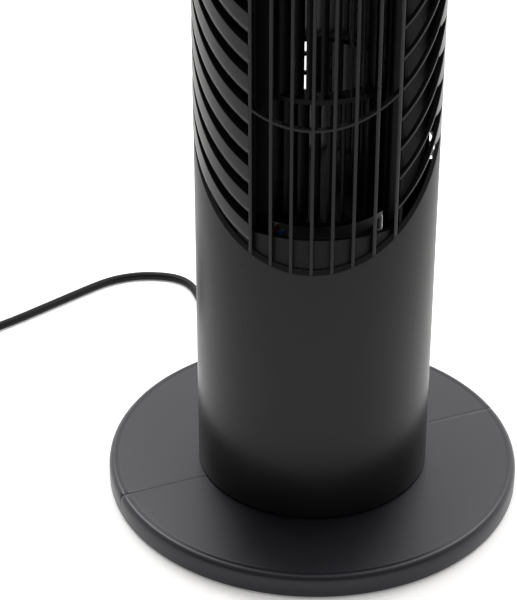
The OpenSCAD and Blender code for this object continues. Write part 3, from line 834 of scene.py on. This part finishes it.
def keys():
    """Dished key caps with rounded edges, each with its mark."""
    for n, (x, node) in enumerate(zip(KEY_X, KEY_NODES)):
        key = block(node + "_cap", (x - KEY_W / 2, KEY_Y - KEY_L / 2, CAP_Z - 8),
                    (x + KEY_W / 2, KEY_Y + KEY_L / 2, KEY_TOP))
        soften(key, 0.9, lambda c, normal: normal.z > 0.9, "FACE", segments=3)
        pick(key, "FACE", lambda c, normal: normal.z > 0.99 and c.z > KEY_TOP - 0.1)
        bpy.ops.mesh.inset(thickness=1.1 * MM)
        bpy.ops.transform.translate(value=(0, 0, -0.35 * MM))
        done()
        soften(key, 0.7, lambda a, b: abs(a.z - b.z) > 10, segments=3)
        put_on(key, node, key_grey, [node])
        mark = joined(node + "_mark", key_marks(n))
        place(mark, (x, KEY_Y, 0))
        put_on(mark, node, mark_white)


def timer_knob():
    """Fluted knob with a raised pointer."""
    z = CAP_Z + 9.6
    grip = rod("timer_knob_fluted", 0, 0, z, z + KNOB_H, 14.6, 72)

    def every_third_side(c, n):
        return abs(n.z) < 0.1 and round(math.degrees(math.atan2(n.y, n.x)) / 5 - 0.5) % 3 == 0

    pick(grip, "FACE", every_third_side)
    bpy.ops.mesh.inset(thickness=0.3 * MM, use_individual=True)
    bpy.ops.transform.shrink_fatten(value=-0.7 * MM)
    done()
    for v in grip.data.vertices:
        narrowing = 1 - 0.06 * (v.co.z / MM - z) / KNOB_H
        v.co.x *= narrowing
        v.co.y *= narrowing
    soften(grip, 0.8, lambda c, n: n.z > 0.9, "FACE", segments=3)
    pick(grip, "FACE", lambda c, n: n.z > 0.99 and c.z > z + KNOB_H - 0.1)
    bpy.ops.mesh.inset(thickness=2.2 * MM)
    bpy.ops.mesh.inset(thickness=0.6 * MM)
    bpy.ops.transform.translate(value=(0, 0, -0.6 * MM))
    done()
    skirt = turned("knob_skirt", [(0, z), (15, z), (15, z + 1.4), (14.6, z + 1.9), (0, z + 1.9)], steps=72)
    spindle = rod("knob_spindle", 0, 0, CAP_Z - 22, z + 1, 3, 32)
    knob = joined("timer_knob_fluted", [grip, skirt, spindle])
    pointer = block("knob_pointer", (-0.7, 4.5, z + 9.7), (0.7, 12.2, z + 10.8))
    round_edges(pointer, 0.25, 2)
    place(knob, (0, KNOB_Y, 0))
    place(pointer, (0, KNOB_Y, 0))
    put_on(knob, "timer", knob_black, ["timer_knob"])
    put_on(pointer, "timer", mark_white)


top_cap()
control_panel()
dial_marks()
keys()
timer_knob()


# ---------------------------------------------------------------- finishes of the frame's own pieces

FINISHES = {
    # These inside parts take the darkened copy of the black plastic, which paints the shade inside the
    # column.
    duct_black_painted_shade: ("air_guide", "tongue_wall", "left_liner", "right_liner", "louvre_posts", "bearing_bracket",
                 "handle_pocket"),
    impeller_black: ("impeller",),
    column_black: ("swivel_plate", "motor_posts", "motor_deck"),
    # The sill takes the darkened copy of the black plastic, which paints the shadow of the ribs on it.
    sill_black_painted_shade: ("outlet_sill",),
    pale_plastic: ("spindle", "capacitor", "switch_block", "timer_body"),
    slippery_plastic: ("swivel_washer", "ring_gear", "drive_pinion"),
    screw_steel: ("joining_ring", "base_screws", "spindle_screws", "casing_screws", "retaining_clip",
                  "motor_shaft"),
    motor_steel: ("swing_motor",),
    lamination: ("fan_motor",),
    bush_bronze: ("bearing_bush",),
    board_green: ("circuit_board",),
    foot_rubber: ("rubber_feet",),
    lead_red: ("motor_lead_red",),
    lead_blue: ("motor_lead_blue",),
}
for finish, names in FINISHES.items():
    for name in names:
        mesh = nodes[name].data
        mesh.materials.clear()
        mesh.materials.append(finish)


# ---------------------------------------------------------------- floor and light

def floor():
    """Plain white floor, lifted a little by its own light."""
    clear_bench()
    bpy.ops.mesh.primitive_plane_add(size=12, location=(0, 0, 0))
    plane = bpy.context.object
    plane.name = "floor"
    finish, tree, shader = new_finish("floor_white_paper")
    where = tree.nodes.new("ShaderNodeTexCoord").outputs["Object"]
    tone = two_tone(tree, noise(tree, where, 3), (0.88, 0.88, 0.88), (0.92, 0.92, 0.92))
    link(tree, tone, shader.inputs["Base Color"])
    shader.inputs["Roughness"].default_value = 0.9
    shader.inputs["Specular IOR Level"].default_value = 0.1
    shader.inputs["Emission Color"].default_value = (1, 1, 1, 1)
    shader.inputs["Emission Strength"].default_value = 0.16
    plane.data.materials.append(finish)


def sky(front, behind):
    """White studio walls, brighter behind the fan than in front of it."""
    world = bpy.data.worlds.new("studio")
    bpy.context.scene.world = world
    world.use_nodes = True
    tree = world.node_tree
    way = tree.nodes.new("ShaderNodeSeparateXYZ")
    link(tree, tree.nodes.new("ShaderNodeTexCoord").outputs["Generated"], way.inputs["Vector"])
    back = tree.nodes["Background"]
    back.inputs["Color"].default_value = (1, 0.985, 0.97, 1)
    link(tree, spread(tree, way.outputs["Y"], front, behind, -0.5, 0.6), back.inputs["Strength"])


def soft_box(name, spot, target, size, power):
    """A rectangular studio light that points at its target."""
    data = bpy.data.lights.new(name, "AREA")
    data.shape = "RECTANGLE"
    data.size, data.size_y = size
    data.energy = power
    lamp = bpy.data.objects.new(name, data)
    bpy.context.scene.collection.objects.link(lamp)
    lamp.location = spot
    lamp.visible_camera = False
    lamp.rotation_euler = (Vector(target) - Vector(spot)).to_track_quat("-Z", "Y").to_euler()


# Places and sizes of the lights are in metres
floor()
sky(0.3, 1.7)
soft_box("top_light", (0.2, 0.6, 2.4), (0, 0, 0.3), (2.2, 2.2), 10)
soft_box("floor_light_left", (-0.36, 0.28, 0.5), (-0.28, 0.2, 0), (0.3, 0.3), 2.0)
soft_box("floor_light_right", (0.36, 0.28, 0.5), (0.28, 0.2, 0), (0.3, 0.3), 1.6)
bpy.context.scene.view_settings.view_transform = "Standard"
